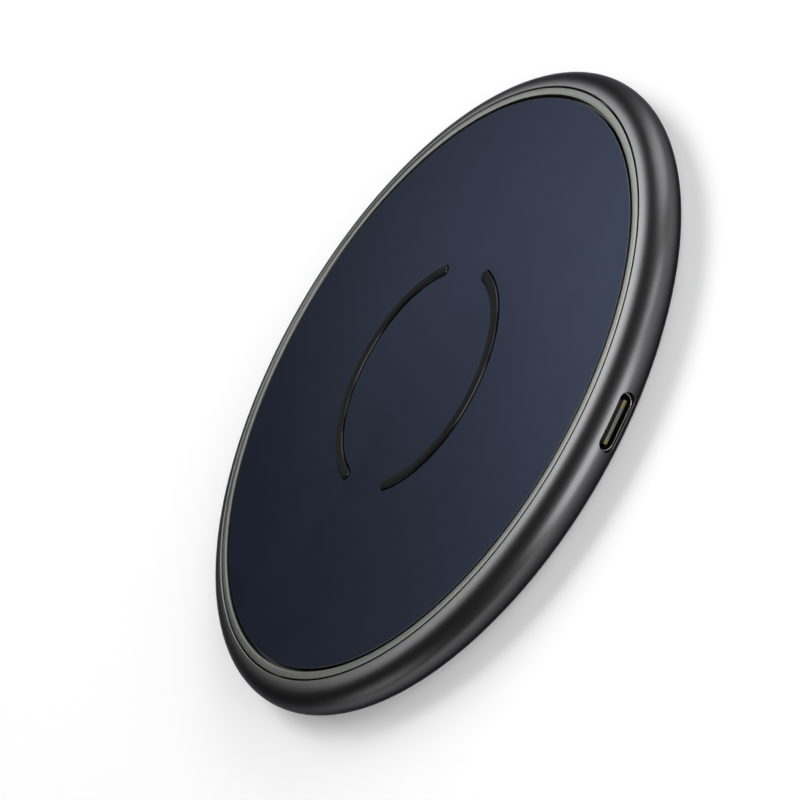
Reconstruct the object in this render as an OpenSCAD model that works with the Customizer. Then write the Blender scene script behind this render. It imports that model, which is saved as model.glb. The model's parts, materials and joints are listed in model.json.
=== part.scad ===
// Round wireless charging pad with a USB-C inlet in its rim.
// Millimetres, +Z up. The origin is the middle of the footprint on the table; the inlet faces -Y.

/* [Body] */
// Outside diameter of the pad
pad_d = 110; // [106:1:130]
// Height of the bottom cover's underside above the table
foot_stand = 0.8; // [0.6:0.1:1.1]

/* [Rim frame] */
// How much further the rounded nose reaches than a plain half-round of the rim's height
nose_reach = 0.455; // [0.3:0.005:0.6]
// Height of the rim's crest above the plate
rim_rise = 0.09; // [0.02:0.01:0.3]
// Width of the flat land between the crest and the bezel groove
rim_land = 0.35; // [0.25:0.05:0.6]
// Rounding of the land's inner edge
rim_edge_r = 0.15; // [0.05:0.05:0.2]
// Wall thickness at the widest point
rim_wall = 3.2; // [2.8:0.1:3.5]
// Reach of the inner ledge that carries the middle frame
ledge_w = 1.9; // [1.6:0.1:2.2]
// Thickness of the inner ledge
ledge_t = 0.9; // [0.6:0.1:1.2]
// Depth of the step that takes the bottom cover's edge
rebate_w = 0.6; // [0.3:0.1:0.8]

/* [Bezel ring] */
// Width of the bright ring
bezel_w = 1.3; // [1:0.1:1.8]
// Height of the ring's crown above the plate
bezel_rise = 0.15; // [0.05:0.05:0.35]
// Height of the crown above the ring's own edges
bezel_dome = 0.22; // [0.1:0.02:0.4]
// Width of the groove between the ring and the rim
bezel_groove = 0.15; // [0.08:0.01:0.25]

/* [Top plate] */
// Thickness of the glass
plate_th = 1; // [0.9:0.1:1.3]
// Width of the shadow gap between the plate and the bezel ring
plate_gap = 0.35; // [0.2:0.05:0.6]
// Rounding of the plate's top edge
plate_edge_r = 0.4; // [0.1:0.05:0.6]
// Thickness of the adhesive ring under the plate
adhesive_th = 0.15; // [0.1:0.05:0.25]
// Width of the adhesive ring
adhesive_w = 5.4; // [3:0.2:6]

/* [Grip strips] */
// Radius of the strips' centreline
grip_r = 19.1; // [17:0.1:22]
// Width of a strip
grip_w = 2.4; // [1.8:0.1:3]
// Height of a strip above the plate
grip_rise = 0.5; // [0.3:0.05:0.7]
// Depth of a strip's groove in the plate
grip_seat = 0.6; // [0.3:0.05:0.8]
// Clearance each side of a strip in its groove
grip_seam = 0.1; // [0.05:0.01:0.2]
// Angle between the centres of a strip's round ends
grip_span = 131; // [100:1:150]

/* [Bottom cover and foot] */
// Thickness of the cover's floor
cover_th = 1.2; // [1:0.1:1.4]
// Width of the foot ring
foot_w = 5.8; // [4.6:0.2:6.4]
// Depth of the foot ring's groove in the cover
foot_seat = 0.6; // [0.3:0.1:0.6]
// Rounding of the foot ring's lower edges
foot_edge_r = 0.3; // [0.1:0.05:0.5]
// Thickness of the flange round the cover's edge
cover_edge_t = 0.8; // [0.5:0.1:0.9]
// Chamfer round the cover's lower edge
cover_chamfer = 0.3; // [0.1:0.05:0.5]
// Height of the cover's standoffs and ring rib
standoff_h = 0.6; // [0.5:0.05:0.8]
// Height of the stiffening ribs
rib_h = 1; // [0.6:0.1:1.6]
// Thickness of the stiffening ribs
rib_t = 1; // [0.7:0.1:1.5]

/* [Middle frame] */
// Thickness of the skirt
skirt_t = 1.2; // [0.8:0.1:1.6]
// Thickness of the flange that carries the plate
flange_th = 0.85; // [0.7:0.05:1]
// Radius of a screw post
post_r = 2.4; // [2:0.1:2.8]
// Gap between the skirt and the cover's screw bosses
boss_gap = 0.4; // [0.3:0.1:1]

/* [Screws] */
// Number of housing screws
screw_n = 5; // [5:5]
// Shank radius of a housing screw
screw_r = 0.95; // [0.8:0.05:1.1]
// Head radius of a housing screw
screw_head_r = 1.8; // [1.5:0.1:2]
// Head height of a housing screw
screw_head_h = 0.9; // [0.7:0.1:1]
// Length of a housing screw under its head
screw_len = 2.9; // [2:0.1:3]
// Shank radius of a board screw
board_screw_r = 0.7; // [0.5:0.05:0.8]
// Head radius of a board screw
board_head_r = 1.3; // [1.1:0.1:1.5]
// Head height of a board screw
board_head_h = 0.7; // [0.5:0.1:1]
// Length of a board screw under its head
board_screw_len = 2.1; // [1.6:0.1:2.2]

/* [USB-C inlet] */
// Outside width of the metal shell
shell_w = 8.94; // [8.8:0.02:9]
// Outside height of the metal shell
shell_h = 3.26; // [3.16:0.02:3.3]
// Sheet thickness of the shell
shell_t = 0.3; // [0.2:0.05:0.3]
// Length of the shell
shell_len = 8.4; // [8:0.1:8.6]
// Depth of the shell's mouth behind the rim's outermost point
shell_recess = 1.05; // [0.9:0.05:1.3]
// Gap between the shell's mouth and the land of the rim that it stands behind
mouth_gap = 0.1; // [0.05:0.05:0.2]
// How far the land laps over the shell's lip, above and below the opening
mouth_lap = 0.28; // [0.2:0.01:0.3]
// Clearance of the rim's pocket round the shell
slot_gap = 0.1; // [0.1:0.01:0.2]
// How much the opening's countersink widens it each side
slot_flare = 0.15; // [0.05:0.05:0.2]
// Depth of the countersink from the rim's outermost point
flare_depth = 0.5; // [0.4:0.05:0.6]
// Width of the tongue
tongue_w = 6.69; // [6.5:0.01:6.8]
// Thickness of the tongue
tongue_t = 0.7; // [0.6:0.02:0.8]
// Depth of the tongue's tip behind the shell's mouth
tongue_recess = 0.4; // [0.4:0.1:1.4]
// Length of the block that closes the shell's back
block_len = 2.2; // [1.8:0.1:3]
// Width of a contact
contact_w = 0.25; // [0.2:0.01:0.3]
// Thickness of a contact
contact_t = 0.12; // [0.1:0.01:0.15]
// Spacing of the contacts
contact_pitch = 0.5; // [0.45:0.01:0.52]
// Number of contacts in a row
contact_n = 12; // [12:12]

/* [Main board] */
// Thickness of the board
board_th = 0.8; // [0.6:0.1:1]
// Clearance of the crescent round the coil carrier
board_clear = 1.3; // [1:0.1:2]
// Gap between the board's outer edge and the middle frame's skirt
board_gap = 1; // [0.8:0.1:2]
// Half of the angle that the crescent spans
board_half_angle = 58; // [56:1:60]

/* [Coil] */
// Radius of the innermost turn's centreline
coil_in_r = 10.8; // [10.4:0.1:11.2]
// Spacing of the turns
coil_pitch = 1.15; // [1.12:0.01:1.18]
// Number of half turns, an odd number so that both ends point at the board
coil_halves = 19; // [15:2:19]
// Diameter of the Litz wire
wire_d = 1.1; // [0.9:0.05:1.1]
// Thickness of the foam pad over the coil
pad_th = 0.25; // [0.15:0.05:0.4]
// Thickness of the tape under the coil
tape_th = 0.15; // [0.1:0.05:0.2]
// Radius of the ferrite disc
ferrite_r = 25; // [24:0.1:25]
// Thickness of the ferrite disc
ferrite_th = 1; // [0.8:0.1:1]
// Height of the carrier above the bottom cover's floor
carrier_lift = 1.1; // [1:0.1:2]
// Thickness of the carrier's floor
carrier_th = 0.8; // [0.6:0.1:0.9]
// Wall thickness of the carrier
carrier_wall = 0.8; // [0.6:0.1:0.9]

/* [Hidden] */
$fn = 96;

// Length by which a cut runs past a face
cut = 1;
// Clearance between two moulded pieces
fit = 0.1;
// Clearance round a loosely laid piece
loose = 0.3;
// Depth by which a rib or boss is rooted in its own wall
root = 0.3;
// Clearance round a screw's head, and round its shank in a hole that it passes through
screw_gap = 0.2;
// Clearance round a screw's shank in the bore that holds it
bore_gap = 0.05;
// Clearance of a stamped piece in the insulator
snug = 0.02;

// Heights of the layers from the table up to the plate's top face
floor_z = foot_stand + cover_th;
rebate_z = foot_stand + cover_edge_t;
standoff_z = floor_z + standoff_h;
board_top = standoff_z + board_th;
boss_top = standoff_z + standoff_h;
carrier_z = floor_z + carrier_lift;
ferrite_z = carrier_z + carrier_th;
tape_z = ferrite_z + ferrite_th;
wire_r = wire_d / 2;
coil_z = tape_z + tape_th + wire_r;
plate_under = coil_z + wire_r + pad_th;
plate_top = plate_under + plate_th;
flange_top = plate_under - adhesive_th;
ledge_top = flange_top - flange_th;

// Rim's nose: one arc between two shoulder arcs, which it meets at the angle of a 3-4-5
// triangle. Each shoulder is level at its crest, so the arcs are tangent all the way round.
crest_z = plate_top + rim_rise;
nose_half = (crest_z - foot_stand) / 2;
port_z = foot_stand + nose_half;
nose_r = nose_half - nose_reach;
nose_in = 2 * nose_reach;
shoulder_r = nose_half + 1.5 * nose_reach;
shoulder_angle = atan2(3, 4);

// Radii, from the outside inwards
pad_r = pad_d / 2;
crest_r = pad_r - nose_r - nose_in;
rim_top_r = crest_r - rim_land;
rim_in_r = pad_r - rim_wall;
ledge_in_r = rim_in_r - ledge_w;
rebate_r = rim_in_r + rebate_w;
bezel_out_r = rim_top_r - bezel_groove;
bezel_in_r = bezel_out_r - bezel_w;
plate_r = bezel_in_r - plate_gap;
adhesive_r = plate_r - loose;
skirt_r = ledge_in_r - fit;
board_out_r = skirt_r - skirt_t - board_gap;

// Coil and carrier
coil_out_r = coil_in_r + coil_pitch * coil_halves / 2;
lead_z = board_top + wire_r;
lead_drop = coil_z - lead_z;
channel_z = board_top - fit / 2;
carrier_r = ferrite_r + 2 * fit + carrier_wall;
board_in_r = carrier_r + board_clear;
tape_margin = 1;

// Ring rib that carries the board's inner edge, and the stiffening ribs outside it
board_lap = 0.9;
rib_in_r = carrier_r + loose;
rib_out_r = board_in_r + board_lap;
rib_angles = [30:24:150];

// Leads: how far they reach over the board, and where the outer one drops beside the carrier
lead_over = 3;
lead_gap = 1.7;
outer_run = chord(carrier_r, coil_out_r) + lead_gap;

// Thermistor in the middle of the coil, with two thin wires
bead_r = 1.1;
bead_hole_r = bead_r + loose;
sense_r = 0.25;
sense_x = 0.45;

// Carrier's ears on the cover's pegs
ear_angles = [90, 195, 345];
ear_r = 2;
ear_at = board_in_r + 0.7;
peg_r = 0.8;
peg_head_r = 1.4;
peg_head_h = 0.5;
board_boss_r = 2.2;

// Housing screws and their bosses
post_bore_r = screw_r + bore_gap;
screw_hole_r = screw_r + screw_gap;
counterbore_r = screw_head_r + screw_gap;
boss_wall = 1.2;
boss_r = counterbore_r + boss_wall;
foot_r = skirt_r - skirt_t - boss_gap - boss_r;
boss_roof = boss_top - standoff_h;
board_notch_r = boss_r + loose;

// Inlet, from the rim's outermost point inwards
mouth_y = -pad_r + shell_recess;
shell_back = mouth_y + shell_len;
tip_y = mouth_y + tongue_recess;
block_y = shell_back - block_len;

// Board's tab under the inlet, and the ribs that carry it
tab_gap = 1;
tab_side = 2.1;
tab_root = 1.6;
tab_y = -rim_in_r + tab_gap;
tab_w = shell_w + 2 * tab_side;
notch_w = shell_w + 2 * fit;
port_rib_len = 3.6;

// Shell's legs, which pass through the board, and the spring windows in its roof
leg_w = 1;
leg_out = 0.9;
leg_at = [tab_y + leg_w, shell_back - leg_w];
window_w = 0.9;
window_len = 2.2;
window_y = mouth_y + 5;

// Tongue's thicker root, its steel mid-plate, and the contacts
root_len = 1;
root_t = 1.05;
midplate_t = 0.15;
midplate_hold = 1;
midplate_y = block_y + midplate_hold;
contact_inset = 0.35;
contact_proud = 0.02;
contact_end = tip_y + contact_inset;
tail_gap = 0.3;
tail_len = 0.3;

// Parts of the board: their length, width and height
controller_size = [5, 5, 0.9];
bridge_size = [3.3, 3.3, 0.85];
resonant_size = [3.2, 1.6, 1.6];
input_size = [1.6, 3.2, 1.6];
inductor_size = [4, 4, 2];
passive_size = [0.8, 1.6, 0.55];

// Lanes that they are laid in, as shares of the board's width from its inner edge
inner_lane = lane(0.17);
middle_lane = lane(0.33);
chip_lane = lane(0.42);
outer_lane = lane(0.64);
input_lane = lane(0.71);

// Their places, and those of the board's screws, as [radius, angle]
board_screw_at = [for (angle = [-140, -66, -40]) [middle_lane, angle]];
controller_at = [chip_lane, -105];
bridge_at = [for (angle = [-57, -48]) [chip_lane, angle]];
resonant_at = [for (angle = [-134:4.5:-120]) [middle_lane, angle]];
inductor_at = [chip_lane, -77];
input_at = [for (angle = [-95, -85]) [input_lane, angle]];
passive_at = concat(
    [for (angle = [-119:5:-99]) [outer_lane, angle]],
    [for (angle = [-112:5:-97]) [inner_lane, angle]],
    [for (angle = [-70:4:-62]) [outer_lane, angle]],
    [for (angle = [-56:5:-46]) [inner_lane, angle]]
);

// Half of a circle's chord at a given distance from its centre
function chord(r, x) = sqrt(r * r - x * x);

// Radius of a lane of the board
function lane(share) = board_in_r + share * (board_out_r - board_in_r);

// ---- Shared shapes ----

module ring(outer, inner, z, h) {
    translate([0, 0, z]) difference() {
        cylinder(r = outer, h = h);
        translate([0, 0, -cut]) cylinder(r = inner, h = h + 2 * cut);
    }
}

module polar(at) {
    rotate([0, 0, at[1]]) translate([at[0], 0, 0]) children();
}

module around(count) {
    for (i = [0:count - 1]) rotate([0, 0, 90 + i * 360 / count]) children();
}

// Pie slice of a circle, between two angles less than 180 degrees apart
module slice_2d(r, from, to) {
    mid = (from + to) / 2;
    far = 3 * r;
    intersection() {
        circle(r = r);
        polygon([
            [0, 0], far * [cos(from), sin(from)], far * [cos(mid), sin(mid)],
            far * [cos(to), sin(to)]
        ]);
    }
}

module pill_2d(w, h) {
    square([w - h, h], center = true);
    for (side = [-1, 1]) translate([side * (w - h) / 2, 0]) circle(d = h);
}

// Pill-shaped bar that starts at the origin and runs along +Y
module pill(w, h, len) {
    rotate([-90, 0, 0]) linear_extrude(len) pill_2d(w, h);
}

// Pill-shaped countersink, widest at the origin and back to w by h at len along +Y
module pill_flare(w, h, len, grow) {
    for (side = [-1, 1]) translate([side * (w - h) / 2, 0, 0])
        rotate([-90, 0, 0]) cylinder(r1 = h / 2 + grow, r2 = h / 2, h = len);
    rotate([90, 0, 90]) linear_extrude(w - h, center = true)
        polygon([[0, -h / 2 - grow], [0, h / 2 + grow], [len, h / 2], [len, -h / 2]]);
}

// Bar of cross section w by h that starts at the origin, runs along -Y and is centred on it
module bar(w, h, len) {
    translate([-w / 2, -len, -h / 2]) cube([w, len, h]);
}

// Block that starts at the origin, runs along -Y and stands up from it
module bar_up(w, len, h) {
    translate([-w / 2, -len, 0]) cube([w, len, h]);
}

module wire(r, len) {
    rotate([90, 0, 0]) cylinder(r = r, h = len, $fn = 32);
}

module elbow(r, bend, angle) {
    rotate_extrude(angle = angle) translate([bend, 0]) circle(r = r, $fn = 32);
}

// Wire from the origin along -Y: it runs in, drops with two quarter bends and runs out
module stepped_wire(r, run_in, drop, run_out) {
    bend = drop / 2;
    wire(r, run_in);
    translate([0, -run_in, 0]) {
        translate([0, 0, -bend]) rotate([180, -90, 0]) elbow(r, bend, 90);
        translate([0, -drop, -bend]) rotate([0, 90, 0]) elbow(r, bend, 90);
        translate([0, -drop, -drop]) wire(r, run_out);
    }
}

// ---- Outside ----

module grip_section_2d(w, bottom, top) {
    translate([0, bottom]) square([w / 2, top - bottom]);
}

// Half of a strip's section, from its middle to one side
module grip_half_2d() {
    dome_r = (grip_w * grip_w / 4 + grip_rise * grip_rise) / (2 * grip_rise);
    grip_section_2d(grip_w, plate_top - grip_seat, plate_top);
    intersection() {
        translate([0, plate_top + grip_rise - dome_r]) circle(r = dome_r);
        translate([0, plate_top]) square([grip_w / 2, grip_rise]);
    }
}

// Sweeps a half section along the arc that a strip follows, with a round end at each side
module grip_sweep() {
    rotate([0, 0, -grip_span / 2]) rotate_extrude(angle = grip_span)
        translate([grip_r, 0]) {
            children();
            mirror([1, 0]) children();
        }
    for (side = [-1, 1]) rotate([0, 0, side * grip_span / 2])
        translate([grip_r, 0, 0]) rotate_extrude($fn = 48) children();
}

module grip_strip(turn) {
    color([0.13, 0.14, 0.13]) rotate([0, 0, turn]) grip_sweep() grip_half_2d();
}

module grip_strip_front() {
    grip_strip(-90);
}

module grip_strip_back() {
    grip_strip(90);
}

module plate_profile_2d() {
    translate([0, plate_under]) {
        square([plate_r - plate_edge_r, plate_th]);
        square([plate_r, plate_th - plate_edge_r]);
        translate([plate_r - plate_edge_r, plate_th - plate_edge_r]) circle(r = plate_edge_r);
    }
}

module top_plate() {
    groove_w = grip_w + 2 * grip_seam;
    color([0.17, 0.2, 0.27]) difference() {
        rotate_extrude() plate_profile_2d();
        for (turn = [-90, 90]) rotate([0, 0, turn]) grip_sweep()
            grip_section_2d(groove_w, plate_top - grip_seat, plate_top + cut);
    }
}

module plate_adhesive() {
    color([0.12, 0.12, 0.12])
        ring(adhesive_r, adhesive_r - adhesive_w, flange_top, adhesive_th);
}

module bezel_ring() {
    half = bezel_w / 2;
    dome_r = (half * half + bezel_dome * bezel_dome) / (2 * bezel_dome);
    edge_z = plate_top + bezel_rise - bezel_dome;
    color([0.5, 0.5, 0.48]) rotate_extrude($fn = 180) translate([bezel_in_r, 0]) {
        translate([0, flange_top]) square([bezel_w, edge_z - flange_top]);
        intersection() {
            translate([half, edge_z + bezel_dome - dome_r]) circle(r = dome_r);
            translate([0, edge_z]) square([bezel_w, bezel_dome]);
        }
    }
}

// Outside of the rim: one nose arc between two shoulder arcs, then the land at the top
module nose_2d() {
    translate([crest_r + nose_in, port_z])
        slice_2d(nose_r, -shoulder_angle, shoulder_angle);
    translate([crest_r, crest_z - shoulder_r]) slice_2d(shoulder_r, shoulder_angle, 90);
    translate([crest_r, foot_stand + shoulder_r]) slice_2d(shoulder_r, -90, -shoulder_angle);
}

module rim_profile_2d() {
    ledge_bottom = ledge_top - ledge_t;
    difference() {
        nose_2d();
        translate([0, foot_stand - cut]) square([rebate_r, rebate_z - foot_stand + cut]);
        square([rim_in_r, ledge_bottom]);
    }
    translate([ledge_in_r, ledge_bottom]) square([crest_r - ledge_in_r, ledge_t]);
    translate([rim_top_r, ledge_top]) square([rim_land, crest_z - rim_edge_r - ledge_top]);
    translate([rim_top_r + rim_edge_r, crest_z - rim_edge_r]) {
        circle(r = rim_edge_r);
        square([rim_land - rim_edge_r, rim_edge_r]);
    }
}

// Opening as wide as the shell, its countersink, and the pocket that takes the shell
module port_slot() {
    mouth_h = shell_h - 2 * mouth_lap;
    translate([0, -pad_r - cut, port_z]) pill(shell_w, mouth_h, cut + shell_recess + cut);
    translate([0, -pad_r, port_z]) pill_flare(shell_w, mouth_h, flare_depth, slot_flare);
    translate([0, mouth_y - mouth_gap, port_z])
        pill(shell_w + 2 * slot_gap, shell_h + 2 * slot_gap, rim_wall + ledge_w + cut);
}

module rim_frame() {
    color([0.3, 0.3, 0.31]) difference() {
        rotate_extrude($fn = 180) rim_profile_2d();
        port_slot();
    }
}

// ---- Housing inside ----

module mid_frame() {
    flange_in_r = foot_r - post_r - loose;
    flange_out_r = rim_top_r - 2 * fit;
    color([0.2, 0.2, 0.21]) difference() {
        union() {
            ring(flange_out_r, flange_in_r, ledge_top, flange_th);
            ring(skirt_r, skirt_r - skirt_t, floor_z, ledge_top - floor_z + fit);
            around(screw_n) translate([foot_r, 0, boss_top])
                cylinder(r = post_r, h = ledge_top - boss_top + fit);
        }
        around(screw_n) translate([foot_r, 0, boss_roof])
            cylinder(r = post_bore_r, h = screw_len + 2 * fit);
        // Window for the board's tab, and relief over the shell
        translate([0, -skirt_r - cut, floor_z - cut]) mirror([0, 1, 0])
            bar_up(tab_w + 2 * loose, skirt_t + 2 * cut, ledge_top - floor_z + cut);
        translate([0, -pad_r, ledge_top - cut]) mirror([0, 1, 0])
            bar_up(shell_w + 2 * loose, shell_recess + shell_len + loose,
                port_z + shell_h / 2 + slot_gap - ledge_top + cut);
    }
}

module cover_profile_2d() {
    edge_r = rebate_r - fit;
    polygon([
        [0, foot_stand], [edge_r - cover_chamfer, foot_stand],
        [edge_r, foot_stand + cover_chamfer], [edge_r, rebate_z],
        [rim_in_r - fit, rebate_z], [rim_in_r - fit, floor_z], [0, floor_z]
    ]);
}

module cover_ribs() {
    rib_end = foot_r - boss_r - loose;
    ring(rib_out_r, rib_in_r, floor_z - root, root + standoff_h);
    for (angle = rib_angles) rotate([0, 0, angle])
        translate([rib_out_r - rib_t / 2, -rib_t / 2, floor_z - root])
            cube([rib_end - rib_out_r, rib_t, root + rib_h]);
    for (side = [-1, 1])
        translate([side * (notch_w + tab_w) / 4, tab_y + port_rib_len, floor_z - root])
            bar_up((tab_w - notch_w) / 2, port_rib_len, root + standoff_h);
}

module cover_bosses() {
    around(screw_n) translate([foot_r, 0, floor_z - root])
        cylinder(r = boss_r, h = root + boss_top - floor_z);
    for (at = board_screw_at) polar(at) translate([0, 0, floor_z - root])
        cylinder(r = board_boss_r, h = root + standoff_h, $fn = 48);
    for (angle = ear_angles) polar([ear_at, angle]) translate([0, 0, floor_z - root]) {
        cylinder(r = ear_r, h = root + standoff_h, $fn = 48);
        cylinder(r = peg_r, h = root + standoff_h + board_th + fit, $fn = 48);
        translate([0, 0, root + standoff_h + board_th])
            cylinder(r = peg_head_r, h = peg_head_h, $fn = 48);
    }
}

module bottom_cover() {
    color([0.11, 0.11, 0.12]) difference() {
        union() {
            rotate_extrude() cover_profile_2d();
            cover_ribs();
            cover_bosses();
        }
        ring(foot_r + foot_w / 2 + fit, foot_r - foot_w / 2 - fit,
            foot_stand - cut, foot_seat + cut);
        around(screw_n) translate([foot_r, 0, foot_stand]) {
            cylinder(r = counterbore_r, h = boss_roof - foot_stand);
            cylinder(r = screw_hole_r, h = boss_top - foot_stand + cut);
        }
        for (at = board_screw_at) polar(at)
            translate([0, 0, board_top - board_screw_len - fit])
                cylinder(r = board_screw_r + bore_gap, h = board_screw_len, $fn = 48);
    }
}

module foot_ring() {
    half = foot_w / 2;
    color([0.07, 0.07, 0.07]) rotate_extrude($fn = 180) translate([foot_r, 0]) {
        translate([-half, foot_edge_r])
            square([foot_w, foot_stand + foot_seat - foot_edge_r]);
        translate([foot_edge_r - half, 0]) square([foot_w - 2 * foot_edge_r, foot_edge_r]);
        for (side = [-1, 1]) translate([side * (half - foot_edge_r), foot_edge_r])
            circle(r = foot_edge_r, $fn = 24);
    }
}

// Screw that stands head down: its head's seat is at the origin and its shank points up
module screw(shank_r, len, head_r, head_h) {
    recess_h = 0.55 * head_h;
    recess_l = 1.3 * head_r;
    recess_w = 0.3 * head_r;
    difference() {
        union() {
            translate([0, 0, -head_h]) cylinder(r = head_r, h = head_h, $fn = 48);
            cylinder(r = shank_r, h = len, $fn = 32);
        }
        for (turn = [0, 90]) rotate([0, 0, turn])
            translate([-recess_l / 2, -recess_w / 2, -head_h - cut])
                cube([recess_l, recess_w, recess_h + cut]);
    }
}

module housing_screws() {
    color([0.35, 0.35, 0.36]) around(screw_n) translate([foot_r, 0, boss_roof])
        screw(screw_r, screw_len, screw_head_r, screw_head_h);
}

// ---- Coil and its carrier ----

// Straight channel for the inner lead, from just behind its bend to y = to
module lead_slot_2d(to) {
    half = wire_r + fit;
    translate([coil_in_r - half, to]) square([2 * half, half - to]);
}

// Hole for the thermistor, with a channel for its wires out to y = to
module sense_slot_2d(to) {
    half = sense_x + sense_r + fit;
    translate([-half, to]) square([2 * half, -to]);
    circle(r = bead_hole_r, $fn = 48);
}

module coil_carrier() {
    foot_out = carrier_r - 2 * fit;
    foot_in = foot_out - 2 * carrier_wall;
    wall_top = tape_z + fit;
    foot_h = carrier_z - floor_z + fit;
    color([0.75, 0.75, 0.72]) difference() {
        union() {
            translate([0, 0, carrier_z]) cylinder(r = carrier_r, h = wall_top - carrier_z);
            ring(foot_out, foot_in, floor_z, foot_h);
            ring(bead_r + 3 * carrier_wall, bead_r + carrier_wall, floor_z, foot_h);
            for (angle = ear_angles) rotate([0, 0, angle]) translate([0, 0, standoff_z]) {
                translate([ear_at, 0, 0]) cylinder(r = ear_r, h = board_th, $fn = 48);
                translate([foot_in, -ear_r, 0])
                    cube([ear_at - foot_in, 2 * ear_r, board_th]);
            }
        }
        translate([0, 0, ferrite_z])
            cylinder(r = carrier_r - carrier_wall, h = wall_top - ferrite_z + cut);
        for (angle = ear_angles) polar([ear_at, angle]) translate([0, 0, standoff_z - cut])
            cylinder(r = peg_r + fit / 2, h = board_th + 2 * cut, $fn = 48);
        translate([0, 0, channel_z]) linear_extrude(wall_top - channel_z + cut) {
            lead_slot_2d(-carrier_r);
            sense_slot_2d(-carrier_r);
        }
    }
}

module ferrite_shield() {
    color([0.22, 0.22, 0.23]) translate([0, 0, ferrite_z]) linear_extrude(ferrite_th)
        difference() {
            circle(r = ferrite_r);
            lead_slot_2d(-ferrite_r);
            sense_slot_2d(-ferrite_r);
        }
}

module coil_tape() {
    color([0.85, 0.8, 0.55]) translate([0, 0, tape_z]) linear_extrude(tape_th)
        difference() {
            circle(r = ferrite_r - tape_margin);
            circle(r = bead_hole_r, $fn = 48);
            lead_slot_2d(-lead_drop - wire_r);
        }
}

// A spiral of half turns: their centres take turns either side of the axis,
// and each half turn is half a pitch wider than the one before
module coil_turns() {
    for (i = [0:coil_halves - 1]) {
        side = i % 2 == 0 ? -1 : 1;
        translate([side * coil_pitch / 4, 0, 0]) rotate([0, 0, i % 2 == 0 ? 0 : 180])
            elbow(wire_r, coil_in_r + coil_pitch / 4 + i * coil_pitch / 2, 180);
    }
}

// The winding, with its inner lead dropped under the turns and its outer lead beside them
module charging_coil() {
    inner_run = chord(board_in_r, coil_in_r) + lead_over - lead_drop;
    color([0.72, 0.42, 0.22]) translate([0, 0, coil_z]) {
        coil_turns();
        translate([coil_in_r, 0, 0]) stepped_wire(wire_r, 0, lead_drop, inner_run);
        translate([-coil_out_r, 0, 0]) stepped_wire(wire_r, outer_run, lead_drop, lead_over);
    }
}

module coil_pad() {
    color([0.16, 0.16, 0.17])
        ring(coil_out_r + wire_r, coil_in_r + wire_r, plate_under - pad_th, pad_th);
}

module thermistor() {
    bead_top = plate_under - bead_r - fit;
    color([0.15, 0.25, 0.2]) {
        translate([0, 0, board_top]) cylinder(r = bead_r, h = bead_top - board_top, $fn = 48);
        translate([0, 0, bead_top]) sphere(r = bead_r, $fn = 48);
        for (side = [-1, 1]) translate([side * sense_x, 0, board_top + sense_r])
            wire(sense_r, board_in_r + lead_over / 2);
    }
}

// ---- Main board ----

module crescent_2d() {
    intersection() {
        difference() {
            circle(r = board_out_r);
            circle(r = board_in_r);
        }
        slice_2d(2 * board_out_r, -90 - board_half_angle, -90 + board_half_angle);
    }
}

module board_2d() {
    difference() {
        union() {
            crescent_2d();
            translate([-tab_w / 2, tab_y]) square([tab_w, tab_root - board_out_r - tab_y]);
        }
        translate([-notch_w / 2, tab_y - cut]) square([notch_w, shell_back + fit - tab_y + cut]);
        around(screw_n) translate([foot_r, 0]) circle(r = board_notch_r);
        for (at = board_screw_at) polar(at) circle(r = board_screw_r + screw_gap, $fn = 48);
        for (side = [-1, 1]) for (y = leg_at)
            translate([side * (shell_w / 2 + leg_out - shell_t / 2), y])
                square([shell_t + 2 * fit, leg_w + 2 * fit], center = true);
    }
}

module main_board() {
    color([0.08, 0.3, 0.18]) translate([0, 0, standoff_z]) linear_extrude(board_th) board_2d();
}

module board_screws() {
    color([0.7, 0.7, 0.7]) for (at = board_screw_at) polar(at)
        translate([0, 0, board_top]) mirror([0, 0, 1])
            screw(board_screw_r, board_screw_len, board_head_r, board_head_h);
}

// Block that stands on the board, centred on its place
module chip(size) {
    translate([-size[0] / 2, -size[1] / 2, board_top]) cube(size);
}

module controller_chip() {
    color([0.1, 0.1, 0.1]) polar(controller_at) chip(controller_size);
}

module bridge_chips() {
    color([0.1, 0.1, 0.1]) for (at = bridge_at) polar(at) chip(bridge_size);
}

module resonant_capacitors() {
    color([0.6, 0.45, 0.3]) for (at = resonant_at) polar(at) chip(resonant_size);
}

module input_capacitors() {
    color([0.6, 0.45, 0.3]) for (at = input_at) polar(at) chip(input_size);
}

module filter_inductor() {
    color([0.25, 0.25, 0.25]) polar(inductor_at) chip(inductor_size);
}

module small_passives() {
    color([0.5, 0.5, 0.5]) for (at = passive_at) polar(at) chip(passive_size);
}

// ---- USB-C inlet ----

module shell_leg() {
    reach = leg_out + shell_t / 2;
    translate([-shell_t / 2, -leg_w / 2, board_top]) cube([reach, leg_w, shell_t]);
    translate([leg_out - shell_t / 2, -leg_w / 2, standoff_z])
        cube([shell_t, leg_w, board_th + shell_t]);
}

module usb_shell() {
    inner_w = shell_w - 2 * shell_t;
    inner_h = shell_h - 2 * shell_t;
    color([0.75, 0.75, 0.76]) difference() {
        union() {
            translate([0, mouth_y, port_z]) pill(shell_w, shell_h, shell_len);
            for (side = [0, 1]) mirror([side, 0, 0]) for (y = leg_at)
                translate([shell_w / 2 - shell_t / 2, y, 0]) shell_leg();
        }
        translate([0, mouth_y - cut, port_z]) pill(inner_w, inner_h, shell_len + 2 * cut);
        // Two spring windows in the roof
        for (side = [-1, 1]) translate([side * shell_w / 5, window_y, port_z])
            bar_up(window_w, window_len, shell_h);
    }
}

function contact_x(i) = (i - (contact_n - 1) / 2) * contact_pitch;

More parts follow.
